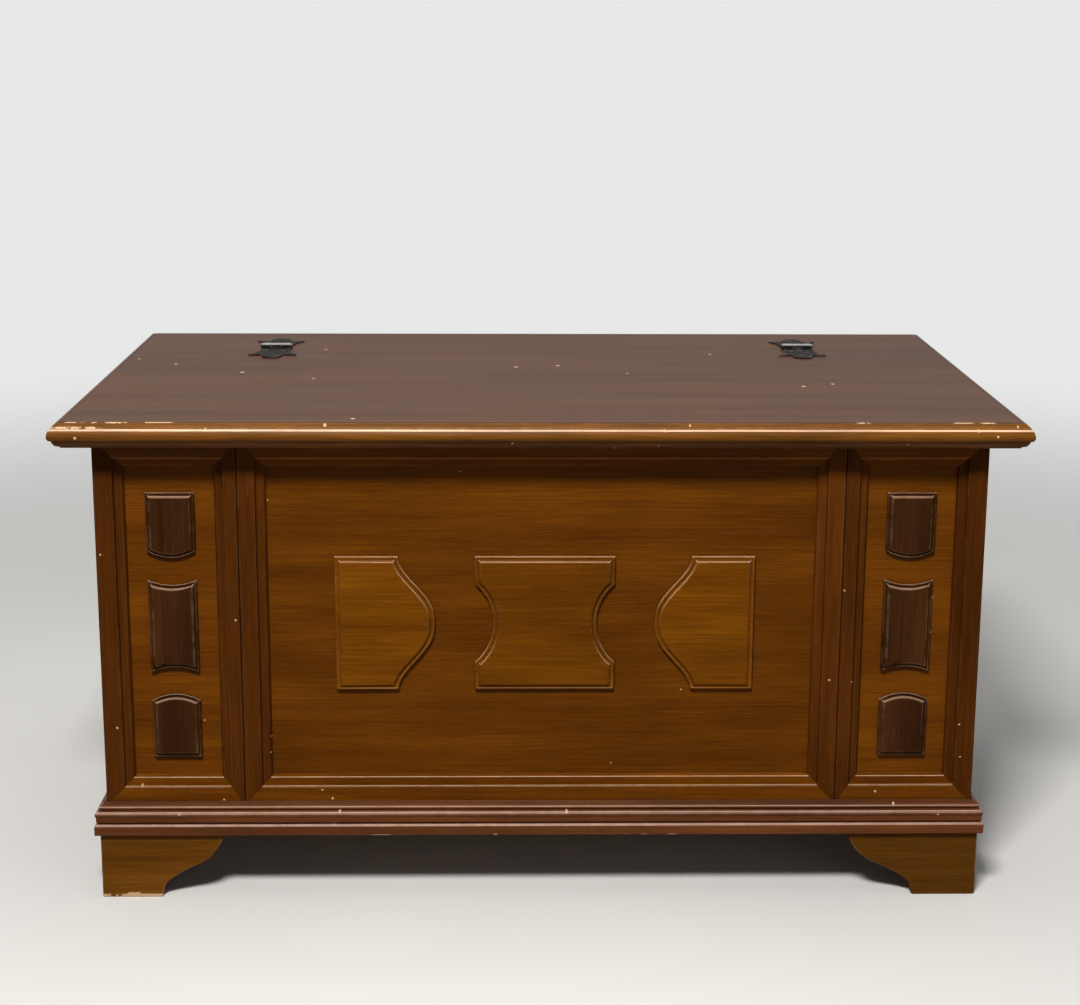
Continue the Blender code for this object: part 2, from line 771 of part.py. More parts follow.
def make_stay_arm(lid_board):
    """The quadrant arm: an arc about the hinge axis, a stop at its tail and a foot under the lid."""
    foot_top = lid_bottom - seat_gap
    foot_low = foot_top - stay_foot_thickness
    root_drop = hinge_z - (foot_top + foot_low) / 2
    outer = stay_radius + stay_width / 2
    inner = stay_radius - stay_width / 2
    head = stay_head_width / 2
    stop = keeper_angle + lid_open_angle + (keeper_length / 2 + keeper_clearance) / stay_radius
    tail = stop + stay_head_length / stay_radius
    outline = arc_points(outer, math.asin(root_drop / outer), stop)
    for radius, angle in ((head, stop), (head, tail), (-head, tail), (-head, stop)):
        outline.append(around_hinge(stay_radius + radius, angle))
    outline += arc_points(inner, stop, math.asin(root_drop / inner))
    high_x = arm_centre_x + stay_thickness / 2
    rings = [[(x, y, z) for y, z in outline] for x in (high_x - stay_thickness, high_x)]
    arm = loft("stay_arm", rings, old_brass)
    foot_y = around_hinge(stay_radius, math.asin(root_drop / stay_radius))[0]
    foot = box("stay_foot", (high_x - stay_foot_width, foot_y - stay_foot_length / 2, foot_low),
               (high_x, foot_y + stay_foot_length / 2, foot_top), None)
    combine(arm, foot, "UNION")
    facing_down = Matrix.Rotation(math.pi, 4, "X")
    screw_x = high_x - stay_foot_width + stay_screw_inset
    places = [Matrix.Translation((screw_x, foot_y + side * stay_screw_spread, foot_low)) @ facing_down
              for side in (-1, 1)]
    add_screws(arm, lid_board, places, stay_foot_thickness)
    return arm


def make_stay_keeper(wall):
    """The keeper: a plate on the wall with a loop that the arm slides through."""
    half_slot = stay_width / 2 + keeper_clearance
    slot_low = arm_centre_x - stay_thickness / 2 - keeper_clearance
    slot_high = arm_centre_x + stay_thickness / 2 + keeper_clearance
    back = wall_inner - seat_gap
    plate = back - keeper_plate_thickness
    loop = half_slot + keeper_cheek
    front = slot_low - keeper_strap
    outline = [(-keeper_plate_reach, back), (keeper_plate_reach, back), (keeper_plate_reach, plate),
               (loop, plate), (loop, front), (-loop, front), (-loop, plate), (-keeper_plate_reach, plate)]
    slot = [(-half_slot, slot_low), (half_slot, slot_low), (half_slot, slot_high), (-half_slot, slot_high)]
    y, z = around_hinge(stay_radius, keeper_angle)
    place = Matrix.Translation((0, y, z)) @ Matrix.Rotation(keeper_angle, 4, "X")

    def section(points, length):
        """A section at both ends of a length along the arm's path."""
        return [[place @ Vector((x, radial, end)) for radial, x in points]
                for end in (-length / 2, length / 2)]

    keeper = loft("stay_keeper", section(outline, keeper_length), old_brass)
    combine(keeper, loft("keeper_slot", section(slot, keeper_length + cut_overrun), None), "DIFFERENCE")
    facing_in = Matrix.Rotation(-math.pi / 2, 4, "Y")
    spots = [place @ Vector((plate, side * keeper_screw_reach, 0)) for side in (-1, 1)]
    add_screws(keeper, wall, [Matrix.Translation(spot) @ facing_in for spot in spots], keeper_plate_thickness)


def hang_on_axis(pieces):
    """Parents the lid's pieces to an empty on the hinge axis, which they turn about."""
    axis = bpy.data.objects.new("lid_axis", None)
    axis.location = (0, hinge_y, hinge_z)
    bpy.context.scene.collection.objects.link(axis)
    for piece in pieces:
        piece.parent = axis
        piece.location -= axis.location


def build_chest():
    """Makes every piece of the chest."""
    clear_scene()
    right_wall = make_case()
    make_frames()
    make_plaques()
    make_base_moulding()
    make_base_frame()
    make_feet()
    strip = make_strip()
    moving = make_lid()
    lid_board = moving[0]
    moving += make_hinges(lid_board, strip)
    moving.append(make_stay_arm(lid_board))
    make_stay_keeper(right_wall)
    hang_on_axis(moving)


build_chest()
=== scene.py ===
"""Storage chest: its wood, iron and brass finishes, a plain studio and the camera."""

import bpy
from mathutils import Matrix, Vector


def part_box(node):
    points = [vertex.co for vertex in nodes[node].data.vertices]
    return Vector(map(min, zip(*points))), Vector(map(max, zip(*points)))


bl_info = {
    "name": "Storage chest",
    "version": (1, 0, 0),
    "blender": (4, 5, 0),
    "location": "3D View > Sidebar > Chest",
    "description": "Finishes a framed storage chest and lights it in a plain studio",
    "category": "Object",
}

import math
import random

import bpy
from bpy.props import FloatProperty, FloatVectorProperty, PointerProperty
from mathutils import Matrix, Vector

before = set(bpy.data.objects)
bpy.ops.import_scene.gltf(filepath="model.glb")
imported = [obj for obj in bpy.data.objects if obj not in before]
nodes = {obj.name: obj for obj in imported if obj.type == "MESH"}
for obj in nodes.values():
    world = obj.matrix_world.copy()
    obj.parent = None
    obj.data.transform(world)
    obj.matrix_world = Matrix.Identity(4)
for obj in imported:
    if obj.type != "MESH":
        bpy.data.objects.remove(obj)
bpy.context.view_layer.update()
LID_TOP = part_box("lid_board")[1].z
RAW_WOOD = (0.68, 0.46, 0.27)
WELD_DISTANCE = 0.00001
FLAT_ANGLE = math.radians(0.5)
ARRIS_ANGLE = math.radians(29)
# How wide the rounding is on frames and plaques, and on metal
FINE_ARRIS = 0.0009
METAL_ARRIS = 0.0003
# How deep the bumps of the grain and of the metal are
GRAIN_DEPTH = 0.00015
GRIT_DEPTH = 0.0001
# The share of its own colour with which the floor lights the chest
BOUNCE = 0.4
# How far below the top of the lid the bead lies, which is worn and carries a painted highlight, and where the
# painted shade of the cove starts
BEAD_DROP = (0.007, 0.0088)
COVE_DROP = 0.0196
# How far the stain of the top runs down over its edge, and how far a zone of height goes past its piece
LIP_DROP = 0.0009
ABOVE = 0.01
BELOW = 0.05
# The lighter ends of the front board, which are painted light: how far from its middle they start, over what
# length, and how light
END_START = 0.36
END_BLEND = 0.02
END_PAINTED_LIGHT = 1.22
# The height of the slope on top of the base moulding
BASE_SLOPE = 0.0033
# Flaked varnish along the lid's front edge, on the left foot and on the base: ranges of x and of height,
# and the level of the noise above which the varnish is gone
LID_CHIPS = (
    (-0.535, -0.412, LID_TOP - 0.0009, LID_TOP - 0.0004, 0.4),
    (-0.502, -0.46, LID_TOP - 0.0013, LID_TOP - 0.0004, 0.46),
    (-0.55, -0.49, LID_TOP - 0.0066, LID_TOP - 0.0044, 0.45),
    (0.352, 0.366, LID_TOP - 0.001, LID_TOP - 0.0004, 0.46),
    (0.46, 0.481, LID_TOP - 0.0009, LID_TOP - 0.0004, 0.45),
    (0.49, 0.506, LID_TOP - 0.0011, LID_TOP - 0.0004, 0.45),
)
FOOT_CHIPS = (
    (-0.53, -0.44, -0.001, 0.0042, 0.43),
    (-0.53, -0.47, 0.003, 0.0062, 0.52),
)
BASE_CHIPS = (
    (-0.54, -0.512, 0.108, 0.125, 0.5),
    (-0.2, -0.15, 0.0794, 0.0815, 0.5),
    (-0.09, -0.05, 0.0794, 0.082, 0.48),
    (-0.255, -0.23, 0.0925, 0.0945, 0.5),
    (0.1, 0.16, 0.0794, 0.0815, 0.52),
)
# How soft the edges of a zone, of a nick and of flaked varnish are. Varnish is softer along x than upright
ZONE_EDGE = 0.0003
NICK_EDGE = 0.0002
CHIP_END = 0.003
CHIP_EDGE = 0.0002
# Nicks: how many each piece gets, their least and greatest radius, and the seed that scatters them
LID_NICKS = (12, (0.0016, 0.0028), 3)
EDGE_NICKS = (12, (0.0009, 0.0017), 5)
PANEL_NICKS = (14, (0.0007, 0.0009), 8)
RAIL_NICKS = (2, (0.001, 0.0016), 13)
BASE_NICKS = (5, (0.0011, 0.0015), 34)
STILE_NICKS = (2, (0.0008, 0.0014))
# Seeds for the uprights of the left, centre and right frame, so that their nicks lie at unlike heights
STILE_SEEDS = (21, 22, 23)
# How light the uprights of the three frames are, the rails, and the painted highlight of the fine line on
# them
STILE_TINTS = (0.93, 1.22, 1.04)
RAIL_TINT = 1.15
LINE_HIGHLIGHT_TINT = 3.6
LINE_HIGHLIGHT_LIFT = 0.016
# How light the hourglass and the end plaques are, and how much lighter still their dark grain is made
HOURGLASS_TINT = 1.17
END_PLAQUE_TINT = 1.36
PLAQUE_DARK = 1.1
# How light the slope on top of the base moulding and the two front feet are
SLOPE_TINT = 0.6
FOOT_TINTS = {"left": 1.0, "right": 0.71}
# How far down from its top the knuckle of a hinge carries a painted highlight
KNUCKLE_HIGHLIGHT_DROP = 0.0018
# How the amber of the centre plaques differs from that of the panel
PLAQUE_CAST = (1.0, 1.1, 1.2)
# The height of the painted highlight, a fine light line, on the top rails
RAIL_HIGHLIGHT_BAND = (0.5324, 0.5348)
# The order in which x, y and z give along, across and through the board
GRAIN_ORDER = {"x": (0, 1, 2), "y": (1, 0, 2), "z": (2, 0, 1)}
# The studio floor: its rings, the steps round each, its radius, and where it fades into the background
FLOOR_RINGS = 12
FLOOR_STEPS = 96
FLOOR_RADIUS = 14.0
FLOOR_FADE = (0.9, 3.2)
# The name, the place, the target, the width and height, and the colour of each lamp
LAMPS = (
    ("key", (-0.4, -1.95, 2.6), (0.0, -0.2, 0.35), (0.7, 0.4), (1.0, 0.97, 0.93)),
    ("overhead", (0.1, 0.2, 3.2), (0.0, 0.0, 0.3), (2.6, 2.0), (1.0, 0.99, 0.97)),
    ("fill", (1.6, -2.6, 1.0), (0.0, 0.0, 0.3), (1.5, 1.5), (0.96, 0.98, 1.0)),
)
AMBIENT_COLOUR = (1.0, 0.99, 0.97, 1.0)
# The camera: its place, and its turn, dip and roll in degrees
CAMERA_PLACE = (-0.0365, -2.2165, 1.0392)
CAMERA_TURN = (-0.9662, 11.235, 0.2682)
SENSOR_WIDTH = 36.0


# Settings
def colour_setting(name, text, colour):
    """A colour that a user may change."""
    return FloatVectorProperty(name=name, description=text, default=colour, size=3, min=0.0, max=1.0,
                               subtype="COLOR")


def length_setting(name, text, metres, most):
    """A length in metres that a user may change."""
    return FloatProperty(name=name, description=text, default=metres, min=0.0, max=most, precision=4,
                         subtype="DISTANCE", unit="LENGTH")


def share_setting(name, text, share):
    """A share from 0 to 1 that a user may change."""
    return FloatProperty(name=name, description=text, default=share, min=0.0, max=1.0, subtype="FACTOR")


def power_setting(name, text, watts):
    """The power of a lamp that a user may change."""
    return FloatProperty(name=name, description=text, default=watts, min=0.0, max=1000.0, unit="POWER")


class ChestWoodSettings(bpy.types.PropertyGroup):
    """Colours and sizes of the wood finishes."""
    top_light: colour_setting("Top, light", "Lighter grain of the lid top", (0.08, 0.032, 0.013))
    top_dark: colour_setting("Top, dark", "Darker grain of the lid top", (0.048, 0.0175, 0.007))
    amber_light: colour_setting("Amber, light", "Lighter grain of the panels", (0.134, 0.04, 0.0014))
    amber_dark: colour_setting("Amber, dark", "Darker grain of the panels", (0.088, 0.0236, 0.0009))
    stile_light: colour_setting("Stile, light", "Lighter grain of the upright lengths", (0.088, 0.025, 0.003))
    stile_dark: colour_setting("Stile, dark", "Darker grain of the upright lengths", (0.055, 0.0145, 0.0018))
    walnut_light: colour_setting("Walnut, light", "Lighter grain of the side plaques", (0.06, 0.0205, 0.0055))
    walnut_dark: colour_setting("Walnut, dark", "Darker grain of the side plaques", (0.029, 0.0095, 0.0028))
    base_light: colour_setting("Base, light", "Lighter grain of the base mouldings", (0.15, 0.048, 0.013))
    base_dark: colour_setting("Base, dark", "Darker grain of the base mouldings", (0.095, 0.027, 0.008))
    edge_light: colour_setting("Lid edge, light", "Lighter grain of the lid's mouldings",
                               (0.172, 0.063, 0.006))
    edge_dark: colour_setting("Lid edge, dark", "Darker grain of the lid's mouldings",
                              (0.113, 0.039, 0.004))
    foot_light: colour_setting("Foot, light", "Lighter grain of the feet at the front",
                               (0.178, 0.066, 0.0054))
    foot_dark: colour_setting("Foot, dark", "Darker grain of the feet at the front",
                              (0.116, 0.039, 0.0034))
    # The bead colour is wear and a painted highlight
    bead: colour_setting("Bead", "The bead along the edge of the lid, rubbed bare", (0.7, 0.44, 0.28))
    # The cove colour is painted shade
    cove: colour_setting("Cove", "The shaded cove under the edge of the lid", (0.14, 0.052, 0.0137))
    inside_light: colour_setting("Inside, light", "Lighter grain of the bare wood inside",
                                 (0.41, 0.24, 0.118))
    inside_dark: colour_setting("Inside, dark", "Darker grain of the bare wood inside",
                                (0.28, 0.152, 0.07))
    band_width: length_setting("Grain bands", "Width of the soft bands in the grain", 0.03, 0.2)
    line_width: length_setting("Grain lines", "Width of the fine lines in the grain", 0.002, 0.02)
    arris_width: length_setting("Rounded edges", "Width of the rounding of the edges", 0.001, 0.003)
    # The paling of the rounded edges is wear, and on faces turned up a painted highlight
    edge_wear_and_highlight: share_setting("Rubbed edges", "How far the finish is rubbed off the edges", 0.5)
    nicks: share_setting("Nicks", "How much bare wood shows in the nicks", 0.9)


class ChestMetalSettings(bpy.types.PropertyGroup):
    """Colours of the hinges and of the lid stay."""
    iron: colour_setting("Iron", "Black iron of the hinges", (0.0115, 0.0107, 0.0095))
    iron_rubbed: colour_setting("Iron, rubbed", "Edges of the hinges, rubbed grey", (0.11, 0.105, 0.098))
    # The colour of the knuckles' tops is a painted highlight
    iron_painted_highlight: colour_setting("Iron, bright", "Top of the knuckles, rubbed bright", (0.3, 0.285, 0.28))
    brass: colour_setting("Brass", "Dull brass of the lid stay", (0.42, 0.28, 0.1))
    brass_tarnish: colour_setting("Brass, tarnished", "Brown tarnish on the brass", (0.13, 0.075, 0.03))


class ChestStudioSettings(bpy.types.PropertyGroup):
    """The floor, the background, the lamps and the camera."""
    floor: colour_setting("Floor", "Colour of the floor", (0.7, 0.7, 0.69))
    background: colour_setting("Background", "Colour behind the chest", (0.8, 0.805, 0.805))
    key: power_setting("Key lamp", "Power of the lamp above the front", 100.0)
    overhead: power_setting("Overhead lamp", "Power of the wide lamp overhead", 36.0)
    fill: power_setting("Fill lamp", "Power of the weak lamp in front", 3.0)
    ambient: FloatProperty(name="Ambient light", description="Strength of the light from all round",
                           default=0.08, min=0.0, max=2.0)
    lens: FloatProperty(name="Lens", description="Focal length of the camera", default=59.786,
                        min=10.0, max=300.0, unit="CAMERA")
    shift: FloatProperty(name="Rise", description="Upright shift of the lens", default=-0.13, min=-1.0,
                         max=1.0)
    place: FloatVectorProperty(name="Camera place", description="Where the camera stands",
                               default=CAMERA_PLACE, size=3, subtype="TRANSLATION", unit="LENGTH")
    turn: FloatVectorProperty(name="Camera turn", description="Turn, dip and roll of the camera",
                              default=tuple(math.radians(angle) for angle in CAMERA_TURN), size=3,
                              subtype="EULER", unit="ROTATION")


# Shader nodes
def add(tree, kind, inputs=(), **settings):
    """Adds a node, sets it up and fills its inputs, given as pairs of socket and value or output."""
    node = tree.nodes.new(kind)
    for key, value in settings.items():
        setattr(node, key, value)
    for key, value in inputs:
        if isinstance(value, bpy.types.NodeSocket):
            tree.links.new(value, node.inputs[key])
        else:
            node.inputs[key].default_value = value
    return node


def worked(tree, kind, first, second=0.0, third=None):
    """The result of one Math node of some kind."""
    inputs = [(0, first), (1, second)] + ([(2, third)] if third is not None else [])
    return add(tree, "ShaderNodeMath", inputs, operation=kind).outputs[0]


def scaled(tree, vector, scale):
    """A vector times a fixed scale on each axis."""
    return add(tree, "ShaderNodeVectorMath", [(0, vector), (1, scale)], operation="MULTIPLY").outputs[0]


def moved_by(tree, vector, step):
    """A vector moved by another one."""
    return add(tree, "ShaderNodeVectorMath", [(0, vector), (1, step)], operation="ADD").outputs[0]


def axes_of(tree, vector):
    """The x, y and z of a vector."""
    return add(tree, "ShaderNodeSeparateXYZ", [(0, vector)]).outputs


def shaded(tree, colour, share):
    """A colour in a material made darker or lighter by a share."""
    return add(tree, "ShaderNodeVectorMath", [(0, colour), (3, share)], operation="SCALE").outputs[0]


def tinted(colour, share, lift=0.0):
    """A fixed colour made darker or lighter by a share, and lifted by the same on each channel."""
    return tuple(share * channel + lift for channel in colour)


def cloud(tree, vector, scale, detail=2.0, rough=0.5, distortion=0.0):
    """Noise between 0 and 1 at a scale for each axis."""
    inputs = [("Vector", scaled(tree, vector, scale)), ("Scale", 1.0), ("Detail", detail),
              ("Roughness", rough), ("Distortion", distortion)]
    return add(tree, "ShaderNodeTexNoise", inputs).outputs[0]


def rise(tree, value, low, high, start=0.0, end=1.0):
    """A smooth step of a value from low to high."""
    inputs = [("Value", value), ("From Min", low), ("From Max", high), ("To Min", start), ("To Max", end)]
    return add(tree, "ShaderNodeMapRange", inputs, interpolation_type="SMOOTHSTEP").outputs[0]


def blend(tree, share, first, second):
    """Two colours mixed by a share."""
    node = add(tree, "ShaderNodeMix", data_type="RGBA")
    for index, value in ((0, share), (6, first), (7, second)):
        if isinstance(value, bpy.types.NodeSocket):
            tree.links.new(value, node.inputs[index])
        else:
            node.inputs[index].default_value = value if index == 0 else (*value, 1.0)
    return node.outputs[2]


def new_material(name):
    """An empty material, its tree, its shader and the coordinates of the piece."""
    material = bpy.data.materials.new(name)
    material.use_nodes = True
    tree = material.node_tree
    place = add(tree, "ShaderNodeTexCoord")
    return material, tree, tree.nodes["Principled BSDF"], place


def fill(shader, **values):
    """Sets fixed values on the shader's own sockets."""
    for key, value in values.items():
        shader.inputs[key.replace("_", " ")].default_value = value


# Wood
def grain_group(direction):
    """A node group that gives the marks of wood whose grain runs along x, y or z."""
    name = "grain_along_" + direction
    if name in bpy.data.node_groups:
        return bpy.data.node_groups[name]
    wood = bpy.context.scene.chest_wood
    tree = bpy.data.node_groups.new(name, "ShaderNodeTree")
    for label in ("Bands", "Lines", "Pores", "Clouds", "Nicks", "Scuffs", "Rubs"):
        tree.interface.new_socket(label, in_out="OUTPUT", socket_type="NodeSocketFloat")
    place = add(tree, "ShaderNodeTexCoord").outputs["Object"]
    axes = axes_of(tree, place)
    turned = add(tree, "ShaderNodeCombineXYZ",
                 [(index, axes[axis]) for index, axis in enumerate(GRAIN_ORDER[direction])])
    board = add(tree, "ShaderNodeObjectInfo").outputs["Random"]
    spread = scaled(tree, board, (5.3, 2.9, 7.1))
    moved = moved_by(tree, turned.outputs[0], spread)
    sway = cloud(tree, moved, (1.7, 7.0, 7.0), 1.0)
    sway = worked(tree, "MULTIPLY_ADD", sway, 0.008, -0.004)
    sway = add(tree, "ShaderNodeCombineXYZ", [(1, sway), (2, sway)]).outputs[0]
    fibre = moved_by(tree, moved, sway)
    band = 1.0 / wood.band_width
    line = 1.0 / wood.line_width
    results = {
        "Bands": cloud(tree, fibre, (1.6, band, band), 4.0, 0.5, 0.1),
        "Lines": cloud(tree, fibre, (11.0, line, line), 4.0, 0.7),
        "Pores": rise(tree, cloud(tree, fibre, (75.0, 1500.0, 1500.0), 1.0), 0.56, 0.7),
        "Clouds": cloud(tree, moved, (6.0, 20.0, 20.0), 3.0, 0.45),
    }
    jag = cloud(tree, moved, (420.0, 420.0, 420.0), 1.0)
    jag = worked(tree, "MULTIPLY_ADD", jag, 0.05, -0.025)
    spots = add(tree, "ShaderNodeTexVoronoi", [("Vector", moved), ("Scale", 26.0)])
    chosen = add(tree, "ShaderNodeSeparateColor", [(0, spots.outputs["Color"])]).outputs
    size = worked(tree, "MULTIPLY_ADD", chosen[1], 0.022, 0.01)
    spot = worked(tree, "SUBTRACT", worked(tree, "ADD", spots.outputs["Distance"], jag), size)
    results["Nicks"] = worked(tree, "MULTIPLY", rise(tree, spot, 0.008, -0.002),
                              rise(tree, chosen[0], 0.62, 0.66))
    stretched = scaled(tree, fibre, (9.0, 130.0, 130.0))
    dashes = add(tree, "ShaderNodeTexVoronoi", [("Vector", stretched), ("Scale", 1.0)])
    results["Scuffs"] = rise(tree, worked(tree, "ADD", dashes.outputs["Distance"], jag), 0.12, 0.04)
    results["Rubs"] = cloud(tree, moved, (45.0, 45.0, 45.0), 4.0, 0.7)
    output = tree.nodes.new("NodeGroupOutput")
    for label, value in results.items():
        tree.links.new(value, output.inputs[label])
    return tree


def between(tree, value, low, high, soft):
    """One where a value lies from low to high, with soft ends, and zero elsewhere."""
    return worked(tree, "MULTIPLY", rise(tree, value, low - soft, low + soft),
                  rise(tree, value, high - soft, high + soft, 1.0, 0.0))


def scattered_nicks(names, count, radii, seed, on_top=False):
    """Nicks at random places on the front of each piece, or on its top, the same on each run."""
    chance = random.Random(seed)
    up = 1 if on_top else 2
    nicks = []
    for name in names:
        low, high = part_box(name)
        for _ in range(count):
            nicks.append((chance.uniform(low[0], high[0]), chance.uniform(low[up], high[up]),
                          chance.uniform(*radii)))
    return nicks


def nick_marks(tree, place, facing, points, on_top):
    """Nicks at x, z and radius in faces to the front, or at x, y and radius in faces to the top."""
    seen = (1.0, 1.0, 0.0) if on_top else (1.0, 0.0, 1.0)
    flat = add(tree, "ShaderNodeVectorMath", [(0, place), (1, seen)], operation="MULTIPLY").outputs[0]
    ragged = worked(tree, "MULTIPLY_ADD", cloud(tree, place, (900.0, 900.0, 900.0), 1.0), 0.0016, -0.0008)
    total = 0.0
    for x, other, radius in points:
        spot = (x, other, 0.0) if on_top else (x, 0.0, other)
        away = add(tree, "ShaderNodeVectorMath", [(0, flat), (1, spot)], operation="DISTANCE")
        away = worked(tree, "ADD", away.outputs["Value"], ragged)
        total = worked(tree, "MAXIMUM", rise(tree, away, radius + NICK_EDGE, radius - NICK_EDGE), total)
    turned = rise(tree, facing[2], 0.1, 0.4) if on_top else rise(tree, facing[1], -0.1, 0.1, 1.0, 0.0)
    return worked(tree, "MULTIPLY", total, turned)


def wood_finish(name, light, dark, direction, look, rubbed=False, zones=(), inner=None, nicks=(),
                on_top=False, chips=(), ends=1.0):
    """A stained and varnished wood. Look sets its marks, edge wear, painted edge highlights and gloss.

    Each zone is a range of height with a light and a dark colour of its own. Inner is the axis and the sign
    of the faces that are left bare. Nicks are places and radii, on the front or on top. Each of the chips is
    a range of x and one of height in which the varnish has flaked off, and the level of noise above which it
    has. Ends lightens the wood beyond END_START."""
    wood = bpy.context.scene.chest_wood
    material, tree, shader, place = new_material(name + ("_rubbed" if rubbed else ""))
    grain = add(tree, "ShaderNodeGroup", node_tree=grain_group(direction)).outputs
    where = axes_of(tree, place.outputs["Object"])
    height = where[2]
    facing = axes_of(tree, place.outputs["Normal"])

    def stained(first, second):
        reach = look["band_reach"]
        tone = rise(tree, grain["Bands"], 0.5 - reach, 0.5 + reach)
        colour = blend(tree, tone, second, first)
        lines = rise(tree, grain["Lines"], 0.3, 0.7, 1.0 - look["lines"], 1.0 + look["lines"])
        pores = worked(tree, "MULTIPLY_ADD", grain["Pores"], -look["pores"], 1.0)
        clouds = rise(tree, grain["Clouds"], 0.3, 0.7, 1.0 - look["clouds"], 1.0 + look["clouds"])
        shade = worked(tree, "MULTIPLY", worked(tree, "MULTIPLY", lines, pores), clouds)
        return shaded(tree, colour, shade)

    colour = stained(light, dark)
    # Painted light: the wood is made lighter towards the ends of the board
    if ends != 1.0:
        from_middle = worked(tree, "ABSOLUTE", where[0])
        lift = rise(tree, from_middle, END_START, END_START + END_BLEND, 1.0, ends)
        colour = shaded(tree, colour, lift)
    scuffs = worked(tree, "MULTIPLY", grain["Scuffs"], look["scuffs"])
    colour = blend(tree, scuffs, colour, tinted(light, 1.25, 0.03))
    # Rounded edges are paled by wear and by a painted highlight on faces turned up; faces turned down are
    # paled a fifth as much, a painted shade
    if rubbed:
        wear = rise(tree, grain["Rubs"], 0.4, 0.62)
        sides = rise(tree, facing[2], -0.5, -0.1, look["rub"] * 0.2, look["rub"])
        sides = worked(tree, "MULTIPLY", wear, sides)
        tops = rise(tree, facing[2], 0.1, 0.5, 0.0, look["top_rub"])
        tops = worked(tree, "MULTIPLY", tops, worked(tree, "MULTIPLY_ADD", wear, 0.25, 0.75))
        rub = worked(tree, "MULTIPLY", worked(tree, "MAXIMUM", sides, tops), wood.edge_wear_and_highlight * 2.0)
        colour = blend(tree, rub, colour, look["rub_colour"])
    for low, high, first, second in zones:
        colour = blend(tree, between(tree, height, low, high, ZONE_EDGE), colour, stained(first, second))
    marks = worked(tree, "MULTIPLY", grain["Nicks"], look["nicks"])
    for left, right, low, high, level in chips:
        flaked = worked(tree, "MULTIPLY", between(tree, where[0], left, right, CHIP_END),
                        between(tree, height, low, high, CHIP_EDGE))
        flaked = worked(tree, "MULTIPLY", flaked, rise(tree, grain["Rubs"], level, level + 0.06))
        marks = worked(tree, "MAXIMUM", marks, flaked)
    if nicks:
        placed = nick_marks(tree, place.outputs["Object"], facing, nicks, on_top)
        marks = worked(tree, "MAXIMUM", marks, placed)
    colour = blend(tree, worked(tree, "MULTIPLY", marks, wood.nicks), colour, RAW_WOOD)
    if inner is not None:
        axis, sign = inner
        inward = rise(tree, facing[axis], 0.4 * sign, 0.6 * sign)
        colour = blend(tree, inward, colour, stained(wood.inside_light, wood.inside_dark))
    tree.links.new(colour, shader.inputs["Base Color"])
    rough = rise(tree, grain["Lines"], 0.3, 0.7, look["rough"] - 0.04, look["rough"] + 0.04)
    rough = worked(tree, "MULTIPLY_ADD", marks, 0.25, rough)
    rough = worked(tree, "MULTIPLY_ADD", grain["Clouds"], 0.06, rough)
    tree.links.new(rough, shader.inputs["Roughness"])
    pits = worked(tree, "MULTIPLY", grain["Pores"], -0.5)
    relief = worked(tree, "MULTIPLY_ADD", grain["Lines"], 0.35, pits)
    relief = worked(tree, "MULTIPLY_ADD", marks, -2.0, relief)
    bump = add(tree, "ShaderNodeBump",
               [("Height", relief), ("Strength", look["bump"]), ("Distance", GRAIN_DEPTH)])
    tree.links.new(bump.outputs[0], shader.inputs["Normal"])
    fill(shader, Specular_IOR_Level=look["specular"])
    return material


# The rounded edges are paled by wear and, on faces turned up, by a painted highlight, both in one colour
LOOK = {
    "band_reach": 0.3, "lines": 0.21, "pores": 0.15, "clouds": 0.13, "scuffs": 0.3, "nicks": 0.0,
    "rub": 0.15, "top_rub": 0.75, "rub_colour": (0.5, 0.32, 0.2), "rough": 0.38, "bump": 0.5,
    "specular": 0.05,
}


def looks(**changes):
    """The usual look of the varnished wood with some of its values changed."""
    return {**LOOK, **changes}


